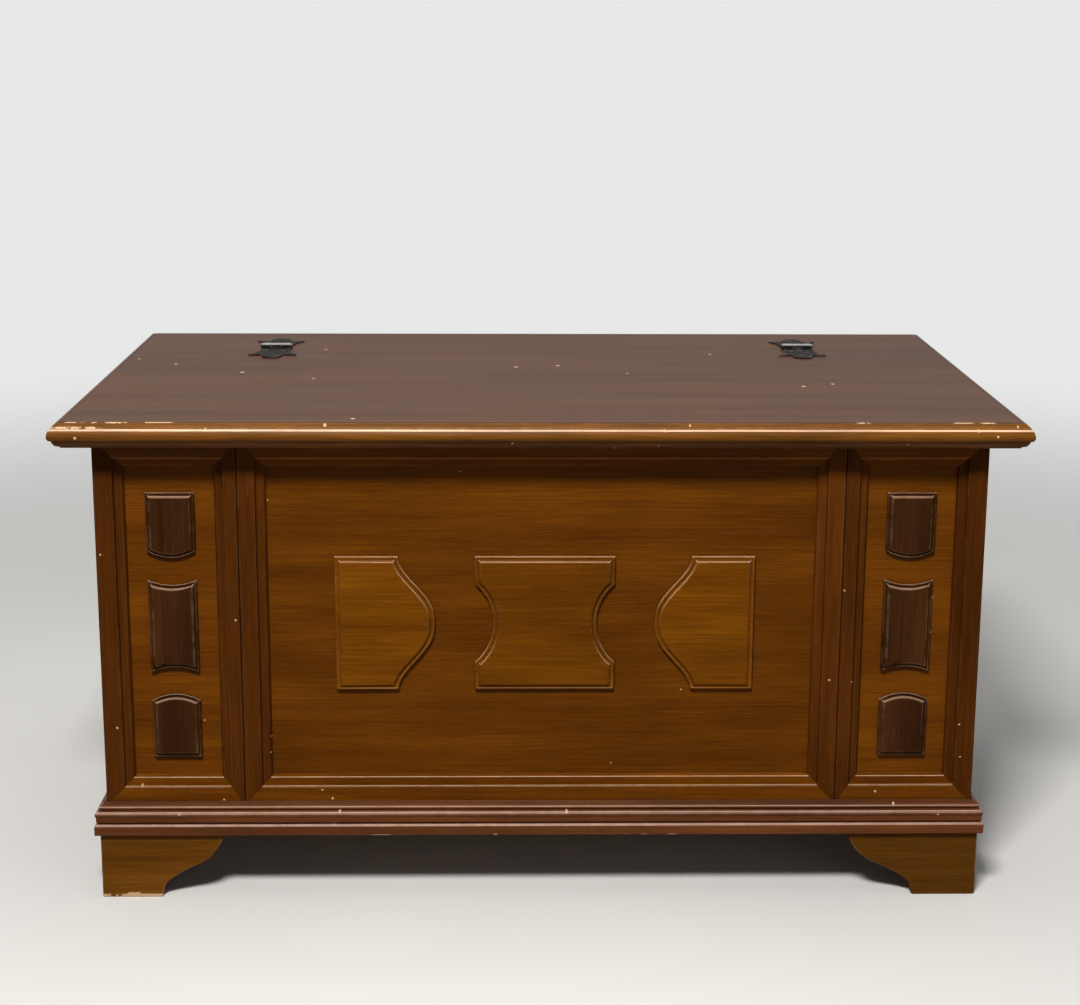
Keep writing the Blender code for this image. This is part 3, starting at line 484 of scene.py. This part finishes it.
# Edges
def arris_tree():
    """A geometry node tree that marks a piece's outer corners for rounding and shades the piece smooth."""
    if "mark_arrises" in bpy.data.node_groups:
        return bpy.data.node_groups["mark_arrises"]
    tree = bpy.data.node_groups.new("mark_arrises", "GeometryNodeTree")
    tree.interface.new_socket("Geometry", in_out="INPUT", socket_type="NodeSocketGeometry")
    tree.interface.new_socket("Geometry", in_out="OUTPUT", socket_type="NodeSocketGeometry")
    tree.interface.new_socket("Along", in_out="INPUT", socket_type="NodeSocketVector")
    given = tree.nodes.new("NodeGroupInput").outputs
    start, along = given[0], given[1]
    angle = add(tree, "GeometryNodeInputMeshEdgeAngle").outputs["Signed Angle"]
    corner = add(tree, "FunctionNodeCompare", [(0, angle), (1, ARRIS_ANGLE)],
                 operation="GREATER_THAN").outputs[0]
    ends = add(tree, "GeometryNodeInputMeshEdgeVertices").outputs
    run = add(tree, "ShaderNodeVectorMath", [(0, ends["Position 1"]), (1, ends["Position 2"])],
              operation="SUBTRACT").outputs[0]
    run = add(tree, "ShaderNodeVectorMath", [(0, run)], operation="NORMALIZE").outputs[0]
    run = add(tree, "ShaderNodeVectorMath", [(0, run), (1, along)],
              operation="DOT_PRODUCT").outputs["Value"]
    # A zero direction lets every edge through
    free = add(tree, "ShaderNodeVectorMath", [(0, along)], operation="LENGTH").outputs["Value"]
    run = worked(tree, "SUBTRACT", worked(tree, "ABSOLUTE", run), free)
    straight = add(tree, "FunctionNodeCompare", [(0, run), (1, -0.1)], operation="GREATER_THAN").outputs[0]
    outer = add(tree, "FunctionNodeBooleanMath", [(0, corner), (1, straight)], operation="AND").outputs[0]
    inner = add(tree, "FunctionNodeCompare", [(0, angle), (1, -ARRIS_ANGLE)],
                operation="LESS_THAN").outputs[0]
    # Inner corners and the ends of a moulding stay crisp
    crisp = add(tree, "FunctionNodeBooleanMath", [(0, corner), (1, straight)], operation="NIMPLY").outputs[0]
    crisp = add(tree, "FunctionNodeBooleanMath", [(0, crisp), (1, inner)], operation="OR").outputs[0]
    marked = add(tree, "GeometryNodeStoreNamedAttribute",
                 [("Geometry", start), ("Selection", outer), ("Name", "bevel_weight_edge"), ("Value", 1.0)],
                 data_type="FLOAT", domain="EDGE").outputs[0]
    smooth = add(tree, "GeometryNodeSetShadeSmooth", [("Geometry", marked), ("Shade Smooth", True)],
                 domain="FACE").outputs[0]
    whole = add(tree, "GeometryNodeSetShadeSmooth", [("Geometry", smooth), ("Shade Smooth", True)],
                domain="EDGE").outputs[0]
    sharp = add(tree, "GeometryNodeSetShadeSmooth",
                [("Geometry", whole), ("Selection", crisp), ("Shade Smooth", False)],
                domain="EDGE").outputs[0]
    end = tree.nodes.new("NodeGroupOutput")
    tree.links.new(sharp, end.inputs[0])
    return tree


def round_edges(piece, width, along):
    """Rounds the outer corners of a piece, or of a moulding only those that run along it.

    The rounded faces take the second material."""
    weld = piece.modifiers.new("weld", "WELD")
    weld.merge_threshold = WELD_DISTANCE
    flats = piece.modifiers.new("flats", "DECIMATE")
    flats.decimate_type = "DISSOLVE"
    flats.angle_limit = FLAT_ANGLE
    marks = piece.modifiers.new("arrises", "NODES")
    marks.node_group = arris_tree()
    marks[marks.node_group.interface.items_tree["Along"].identifier] = along
    bevel = piece.modifiers.new("rounding", "BEVEL")
    bevel.limit_method = "WEIGHT"
    bevel.width = width
    bevel.segments = 3
    bevel.material = 1
    bevel.use_clamp_overlap = False
    normals = piece.modifiers.new("normals", "WEIGHTED_NORMAL")
    normals.keep_sharp = True


def dress(names, finish, rubbed, width, along=(0.0, 0.0, 0.0)):
    """Gives CAD pieces their finish, and rounds their edges, which take the second finish of wear and painted
    highlight.
    """
    for name in names:
        piece = nodes[name]
        piece.data.materials.clear()
        piece.data.materials.append(finish)
        piece.data.materials.append(rubbed)
        round_edges(piece, width, along)


def dress_wood(names, label, light, dark, direction, look, width=None, moulding=False, **extra):
    """Makes a wood finish and its twin for the edges, worn and with painted highlights, and gives them to the
    pieces.
    """
    wood = bpy.context.scene.chest_wood
    finish = wood_finish(label, light, dark, direction, look, **extra)
    rubbed = wood_finish(label, light, dark, direction, look, rubbed=True, **extra)
    along = tuple(1.0 if moulding and axis == direction else 0.0 for axis in "xyz")
    dress(names, finish, rubbed, wood.arris_width if width is None else width, along)


# Operators
class ChestOperator(bpy.types.Operator):
    """Common options of the chest's operators."""
    bl_options = {"REGISTER", "UNDO"}


class CHEST_OT_lid_boards(ChestOperator):
    """Stain the lid board and the strip behind it dark brown"""
    bl_idname = "chest.lid_boards"
    bl_label = "Lid board and rear strip"

    def execute(self, context):
        wood = context.scene.chest_wood
        look = looks(rough=0.47, lines=0.14, clouds=0.08, scuffs=0.3, specular=0.13, bump=0.35, rub=0.1,
                     band_reach=0.32, top_rub=0.4, nicks=0.3, rub_colour=(0.3, 0.17, 0.1))
        dress_wood(["lid_board", "rear_strip"], "dark_top_wood", wood.top_light, wood.top_dark, "x", look,
                   nicks=scattered_nicks(["lid_board"], *LID_NICKS, True), on_top=True)
        return {"FINISHED"}


class CHEST_OT_lid_mouldings(ChestOperator):
    """Finish the moulded edges of the lid and of the strip, with a worn bead that carries a painted
    highlight, and painted shade in the cove under them
    """
    bl_idname = "chest.lid_mouldings"
    bl_label = "Lid mouldings"

    def execute(self, context):
        wood = context.scene.chest_wood
        look = looks(specular=0.09, rub=0.25, top_rub=0.12, nicks=1.0, lines=0.3, clouds=0.2, scuffs=0.6,
                     rub_colour=(0.4, 0.24, 0.12))
        # The cove under the edge gets a flat colour of painted shade
        cove = (wood.cove, wood.cove)
        zones = ((LID_TOP - LIP_DROP, LID_TOP + ABOVE, wood.top_light, wood.top_dark),
                 # The bead: wear and a painted highlight
                 (LID_TOP - BEAD_DROP[1], LID_TOP - BEAD_DROP[0], wood.bead, wood.bead),
                 (LID_TOP - BELOW, LID_TOP - COVE_DROP, *cove))
        dress_wood(["lid_moulding_front"], "lid_moulding_long", wood.edge_light, wood.edge_dark, "x", look,
                   moulding=True, zones=zones, chips=LID_CHIPS,
                   nicks=scattered_nicks(["lid_moulding_front"], *EDGE_NICKS))
        sides = ["lid_moulding_left", "lid_moulding_right", "strip_moulding_left", "strip_moulding_right"]
        dress_wood(sides, "lid_moulding_short", wood.edge_light, wood.edge_dark, "y", look, moulding=True,
                   zones=zones)
        return {"FINISHED"}


class CHEST_OT_case_boards(ChestOperator):
    """Finish the front and the side boards of the case"""
    bl_idname = "chest.case_boards"
    bl_label = "Case boards"

    def execute(self, context):
        wood = context.scene.chest_wood
        look = looks()
        # The ends of the front board get painted light
        dress_wood(["front_board"], "panel_wood", wood.amber_light, wood.amber_dark, "x", look, inner=(1, 1),
                   nicks=scattered_nicks(["front_board"], *PANEL_NICKS), ends=END_PAINTED_LIGHT)
        light = tuple((a + b) / 2 for a, b in zip(wood.amber_light, wood.stile_light))
        dark = tuple((a + b) / 2 for a, b in zip(wood.amber_dark, wood.stile_dark))
        dress_wood(["side_board_left"], "left_side_wood", light, dark, "y", look, inner=(0, 1))
        dress_wood(["side_board_right"], "right_side_wood", light, dark, "y", look, inner=(0, -1))
        return {"FINISHED"}


class CHEST_OT_frames(ChestOperator):
    """Finish the three frames of applied moulding"""
    bl_idname = "chest.frames"
    bl_label = "Frames"

    def execute(self, context):
        wood = context.scene.chest_wood
        places = ("left", "centre", "right")
        rails = [place + "_frame_" + side for place in places for side in ("top", "bottom")]
        light = tinted(wood.amber_light, RAIL_TINT)
        dark = tinted(wood.amber_dark, RAIL_TINT)
        # A painted highlight: a fine light line across the top rails
        line = [tinted(colour, LINE_HIGHLIGHT_TINT, LINE_HIGHLIGHT_LIFT) for colour in (light, dark)]
        dress_wood(rails, "rail_wood", light, dark, "x", looks(top_rub=0.9), FINE_ARRIS, moulding=True,
                   zones=((*RAIL_HIGHLIGHT_BAND, *line),), nicks=scattered_nicks(rails[1::2], *RAIL_NICKS))
        look = looks(rub=0.07, nicks=0.8, specular=0.02, rub_colour=(0.36, 0.2, 0.1))
        for place, tint, seed in zip(places, STILE_TINTS, STILE_SEEDS):
            stiles = [place + "_frame_" + side for side in ("left", "right")]
            light = tinted(wood.stile_light, tint)
            dark = tinted(wood.stile_dark, tint)
            dress_wood(stiles, place + "_stile_wood", light, dark, "z", look, FINE_ARRIS, moulding=True,
                       nicks=scattered_nicks(stiles, *STILE_NICKS, seed))
        return {"FINISHED"}


class CHEST_OT_centre_plaques(ChestOperator):
    """Finish the three plaques on the centre panel"""
    bl_idname = "chest.centre_plaques"
    bl_label = "Centre plaques"

    def execute(self, context):
        wood = context.scene.chest_wood
        look = looks(rub=0.06, top_rub=0.65, specular=0.03, rub_colour=(0.5, 0.34, 0.21))
        kinds = (("hourglass", HOURGLASS_TINT, ["centre_plaque_middle"]),
                 ("end_plaque", END_PLAQUE_TINT, ["centre_plaque_left", "centre_plaque_right"]))
        for label, tint, names in kinds:
            light = tuple(tint * cast * channel for cast, channel in zip(PLAQUE_CAST, wood.amber_light))
            dark = tuple(PLAQUE_DARK * tint * cast * channel
                         for cast, channel in zip(PLAQUE_CAST, wood.amber_dark))
            dress_wood(names, label + "_wood", light, dark, "x", look, FINE_ARRIS)
        return {"FINISHED"}


class CHEST_OT_side_plaques(ChestOperator):
    """Finish the six walnut plaques in the side frames"""
    bl_idname = "chest.side_plaques"
    bl_label = "Side plaques"

    def execute(self, context):
        wood = context.scene.chest_wood
        look = looks(rub=0.12, top_rub=0.65, specular=0.03, rub_colour=(0.46, 0.29, 0.18))
        levels = ("top", "middle", "bottom")
        names = [side + "_plaque_" + level for side in ("left", "right") for level in levels]
        dress_wood(names, "side_plaque_walnut", wood.walnut_light, wood.walnut_dark, "z", look, FINE_ARRIS)
        return {"FINISHED"}


class CHEST_OT_base(ChestOperator):
    """Finish the base moulding and the frame under it"""
    bl_idname = "chest.base"
    bl_label = "Base moulding and frame"

    def execute(self, context):
        wood = context.scene.chest_wood
        look = looks(rough=0.33, specular=0.1, rub=0.12, top_rub=0.85, nicks=1.0,
                     rub_colour=(0.5, 0.34, 0.27))
        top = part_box("base_moulding_front")[1].z
        slope = [tinted(colour, SLOPE_TINT) for colour in (wood.base_light, wood.base_dark)]
        extra = {"zones": ((top - BASE_SLOPE, top + ABOVE, *slope),), "moulding": True}
        dress_wood(["base_moulding_front", "base_frame_front"], "base_wood_long", wood.base_light,
                   wood.base_dark, "x", look, chips=BASE_CHIPS,
                   nicks=scattered_nicks(["base_moulding_front"], *BASE_NICKS), **extra)
        sides = ["base_moulding_left", "base_moulding_right", "base_frame_left", "base_frame_right"]
        dress_wood(sides, "base_wood_short", wood.base_light, wood.base_dark, "y", look, **extra)
        return {"FINISHED"}


class CHEST_OT_feet(ChestOperator):
    """Finish the bracket feet"""
    bl_idname = "chest.feet"
    bl_label = "Bracket feet"

    def execute(self, context):
        wood = context.scene.chest_wood
        look = looks(rub=0.45, nicks=0.4, band_reach=0.3, top_rub=0.45, rub_colour=(0.5, 0.34, 0.22))
        for side, tint in FOOT_TINTS.items():
            light = tinted(wood.foot_light, tint)
            dark = tinted(wood.foot_dark, tint)
            dress_wood(["front_foot_" + side], side + "_foot_wood", light, dark, "x", look,
                       chips=FOOT_CHIPS)
        sides = ["side_foot_left", "side_foot_right", "rear_foot_left", "rear_foot_right"]
        dress_wood(sides, "side_foot_wood", wood.amber_light, wood.amber_dark, "y", look)
        return {"FINISHED"}


class CHEST_OT_bare_boards(ChestOperator):
    """Finish the bare wood of the back, the bottom, the battens and the glue blocks"""
    bl_idname = "chest.bare_boards"
    bl_label = "Bare boards"

    def execute(self, context):
        wood = context.scene.chest_wood
        look = looks(rough=0.68, specular=0.3, scuffs=0.3, rub=0.25, top_rub=0.25, lines=0.3, band_reach=0.34,
                     rub_colour=(0.5, 0.33, 0.18))
        colours = (wood.inside_light, wood.inside_dark)
        dress_wood(["back_board", "bottom_board", "base_frame_back"], "bare_wood_long", *colours, "x", look)
        dress_wood(["lid_batten_left", "lid_batten_right"], "batten_wood", *colours, "y", look)
        blocks = ["front_block_left", "front_block_right", "rear_block_left", "rear_block_right"]
        dress_wood(blocks, "block_wood", *colours, "z", look)
        return {"FINISHED"}


def metal_finish(name, base, worn, grit_scale, metallic, rough, specular, rubbed, knuckle_highlight=None):
    """A worn metal with spots of its second colour. Rubbed gives the finish of its edges.

    The last argument is a height and the colour of a painted highlight above it."""
    material, tree, shader, place = new_material(name + ("_rubbed" if rubbed else ""))
    where = place.outputs["Object"]
    patches = cloud(tree, where, (60.0, 60.0, 60.0), 4.0, 0.65)
    grit = cloud(tree, where, grit_scale, 2.0, 0.6)
    spread = rise(tree, patches, *((0.3, 0.6) if rubbed else (0.52, 0.78)))
    colour = blend(tree, spread, base, worn)
    # A painted highlight above the given height
    if knuckle_highlight is not None:
        height = axes_of(tree, where)[2]
        start, bright = knuckle_highlight
        colour = blend(tree, rise(tree, height, start - 0.0003, start + 0.0005), colour, bright)
    tree.links.new(colour, shader.inputs["Base Color"])
    tree.links.new(rise(tree, grit, 0.3, 0.7, rough - 0.1, rough + 0.12), shader.inputs["Roughness"])
    bump = add(tree, "ShaderNodeBump", [("Height", grit), ("Strength", 0.35), ("Distance", GRIT_DEPTH)])
    tree.links.new(bump.outputs[0], shader.inputs["Normal"])
    fill(shader, Metallic=metallic, Specular_IOR_Level=specular)
    return material


class CHEST_OT_hinges(ChestOperator):
    """Blacken the iron hinges"""
    bl_idname = "chest.hinges"
    bl_label = "Hinges"

    def execute(self, context):
        metal = context.scene.chest_metal
        # The tops of the knuckles get a painted highlight
        knuckle_highlight = (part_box("hinge_lid_leaf_left")[1].z - KNUCKLE_HIGHLIGHT_DROP, metal.iron_painted_highlight)
        finish, rubbed = [metal_finish("black_iron", metal.iron, metal.iron_rubbed, (900.0, 900.0, 900.0),
                                       0.0, 0.6, 0.06, rub, knuckle_highlight) for rub in (False, True)]
        kinds = ("lid_leaf", "strip_leaf", "pin")
        names = ["hinge_" + kind + "_" + side for kind in kinds for side in ("left", "right")]
        dress(names, finish, rubbed, METAL_ARRIS)
        return {"FINISHED"}


class CHEST_OT_stay(ChestOperator):
    """Give the lid stay and its keeper their dull brass"""
    bl_idname = "chest.stay"
    bl_label = "Lid stay"

    def execute(self, context):
        metal = context.scene.chest_metal
        finish = metal_finish("old_brass", metal.brass, metal.brass_tarnish, (300.0, 1200.0, 1200.0), 1.0,
                              0.36, 0.5, False)
        dress(["stay_arm", "stay_keeper"], finish, finish, METAL_ARRIS)
        return {"FINISHED"}


def make_floor(colour, background):
    """A large round floor with a faint unevenness, which fades into the background far from the chest."""
    steps = FLOOR_STEPS
    angles = [2 * math.pi * step / steps for step in range(steps)]
    points = [(0.0, 0.0, 0.0)]
    for ring in range(1, FLOOR_RINGS + 1):
        reach = FLOOR_RADIUS * (ring / FLOOR_RINGS) ** 2
        points += [(reach * math.cos(angle), reach * math.sin(angle), 0.0) for angle in angles]
    faces = [(0, 1 + step, 1 + (step + 1) % steps) for step in range(steps)]
    for ring in range(FLOOR_RINGS - 1):
        low = 1 + ring * steps
        high = low + steps
        faces += [(low + step, high + step, high + (step + 1) % steps, low + (step + 1) % steps)
                  for step in range(steps)]
    mesh = bpy.data.meshes.new("studio_floor")
    mesh.from_pydata(points, [], faces)
    floor = bpy.data.objects.new("studio_floor", mesh)
    bpy.context.scene.collection.objects.link(floor)
    material, tree, shader, place = new_material("studio_floor_paint")
    marks = cloud(tree, place.outputs["Object"], (0.8, 0.8, 0.8), 3.0)
    tint = shaded(tree, colour, rise(tree, marks, 0.3, 0.7, 0.97, 1.03))
    path = add(tree, "ShaderNodeLightPath").outputs
    thrown = shaded(tree, tint, BOUNCE)
    tree.links.new(blend(tree, path["Is Camera Ray"], thrown, tint), shader.inputs["Base Color"])
    grit = cloud(tree, place.outputs["Object"], (350.0, 350.0, 350.0), 2.0)
    tree.links.new(rise(tree, grit, 0.3, 0.7, 0.7, 0.85), shader.inputs["Roughness"])
    fill(shader, Specular_IOR_Level=0.3)
    far = add(tree, "ShaderNodeVectorMath", [(0, place.outputs["Object"])],
              operation="LENGTH").outputs["Value"]
    seen = worked(tree, "MAXIMUM", path["Is Camera Ray"], path["Is Glossy Ray"])
    seen = worked(tree, "MULTIPLY", seen, rise(tree, far, *FLOOR_FADE))
    glow = add(tree, "ShaderNodeEmission", [("Color", (*background, 1.0)), ("Strength", 1.0)]).outputs[0]
    mixed = add(tree, "ShaderNodeMixShader", [(0, seen), (1, shader.outputs[0]), (2, glow)]).outputs[0]
    tree.links.new(mixed, tree.nodes["Material Output"].inputs["Surface"])
    mesh.materials.append(material)
    return floor


def make_world(colour, ambient):
    """A pale background that gives less light than it shows."""
    world = bpy.data.worlds.new("studio_world")
    world.use_nodes = True
    tree = world.node_tree
    tree.nodes.clear()
    path = add(tree, "ShaderNodeLightPath").outputs
    seen = worked(tree, "MAXIMUM", path["Is Camera Ray"], path["Is Glossy Ray"])
    seen = worked(tree, "MAXIMUM", seen, path["Is Transmission Ray"])
    shown = add(tree, "ShaderNodeBackground", [("Color", (*colour, 1.0)), ("Strength", 1.0)]).outputs[0]
    light = add(tree, "ShaderNodeBackground", [("Color", AMBIENT_COLOUR), ("Strength", ambient)])
    mixed = add(tree, "ShaderNodeMixShader", [(0, seen), (1, light.outputs[0]), (2, shown)]).outputs[0]
    add(tree, "ShaderNodeOutputWorld", [(0, mixed)])
    bpy.context.scene.world = world


def make_lamp(name, place, target, size, power, colour):
    """A rectangular area lamp turned to a target."""
    data = bpy.data.lights.new(name, "AREA")
    data.shape = "RECTANGLE"
    data.size, data.size_y = size
    data.energy = power
    data.color = colour
    lamp = bpy.data.objects.new(name, data)
    lamp.location = place
    lamp.rotation_euler = (Vector(target) - Vector(place)).to_track_quat("-Z", "Y").to_euler()
    bpy.context.scene.collection.objects.link(lamp)


class CHEST_OT_studio(ChestOperator):
    """Set up the floor, the background, the lamps and the camera"""
    bl_idname = "chest.studio"
    bl_label = "Studio"

    def execute(self, context):
        studio = context.scene.chest_studio
        make_floor(studio.floor, studio.background)
        make_world(studio.background, studio.ambient)
        for name, place, target, size, colour in LAMPS:
            make_lamp(name + "_lamp", place, target, size, getattr(studio, name), colour)
        data = bpy.data.cameras.new("chest_camera")
        data.sensor_width = SENSOR_WIDTH
        data.sensor_fit = "HORIZONTAL"
        data.lens = studio.lens
        data.shift_y = studio.shift
        camera = bpy.data.objects.new("chest_camera", data)
        turn, dip, roll = studio.turn
        camera.matrix_world = (Matrix.Translation(studio.place) @ Matrix.Rotation(turn, 4, "Z")
                               @ Matrix.Rotation(math.pi / 2 - dip, 4, "X") @ Matrix.Rotation(roll, 4, "Z"))
        context.scene.collection.objects.link(camera)
        context.scene.camera = camera
        context.scene.view_settings.view_transform = "Standard"
        return {"FINISHED"}


STEPS = (
    CHEST_OT_lid_boards, CHEST_OT_lid_mouldings, CHEST_OT_case_boards, CHEST_OT_frames,
    CHEST_OT_centre_plaques, CHEST_OT_side_plaques, CHEST_OT_base, CHEST_OT_feet, CHEST_OT_bare_boards,
    CHEST_OT_hinges, CHEST_OT_stay, CHEST_OT_studio,
)


class CHEST_PT_panel(bpy.types.Panel):
    """The chest's settings and its steps in the sidebar"""
    bl_label = "Storage chest"
    bl_idname = "CHEST_PT_panel"
    bl_space_type = "VIEW_3D"
    bl_region_type = "UI"
    bl_category = "Chest"

    def draw(self, context):
        layout = self.layout
        for step in STEPS:
            layout.operator(step.bl_idname)
        scene = context.scene
        for title, settings in (("Wood", scene.chest_wood), ("Metal", scene.chest_metal),
                                ("Studio", scene.chest_studio)):
            column = layout.box().column()
            column.label(text=title)
            for name in settings.__annotations__:
                column.prop(settings, name)


CLASSES = (ChestWoodSettings, ChestMetalSettings, ChestStudioSettings, *STEPS, CHEST_PT_panel)


def register():
    """Registers the settings, the operators and the panel."""
    for kind in CLASSES:
        bpy.utils.register_class(kind)
    bpy.types.Scene.chest_wood = PointerProperty(type=ChestWoodSettings)
    bpy.types.Scene.chest_metal = PointerProperty(type=ChestMetalSettings)
    bpy.types.Scene.chest_studio = PointerProperty(type=ChestStudioSettings)


def unregister():
    """Takes out what register put in."""
    for name in ("chest_wood", "chest_metal", "chest_studio"):
        delattr(bpy.types.Scene, name)
    for kind in reversed(CLASSES):
        bpy.utils.unregister_class(kind)


def main():
    """Runs each step in order."""
    register()
    for step in STEPS:
        group, name = step.bl_idname.split(".")
        getattr(getattr(bpy.ops, group), name)()


if __name__ == "__main__":
    main()
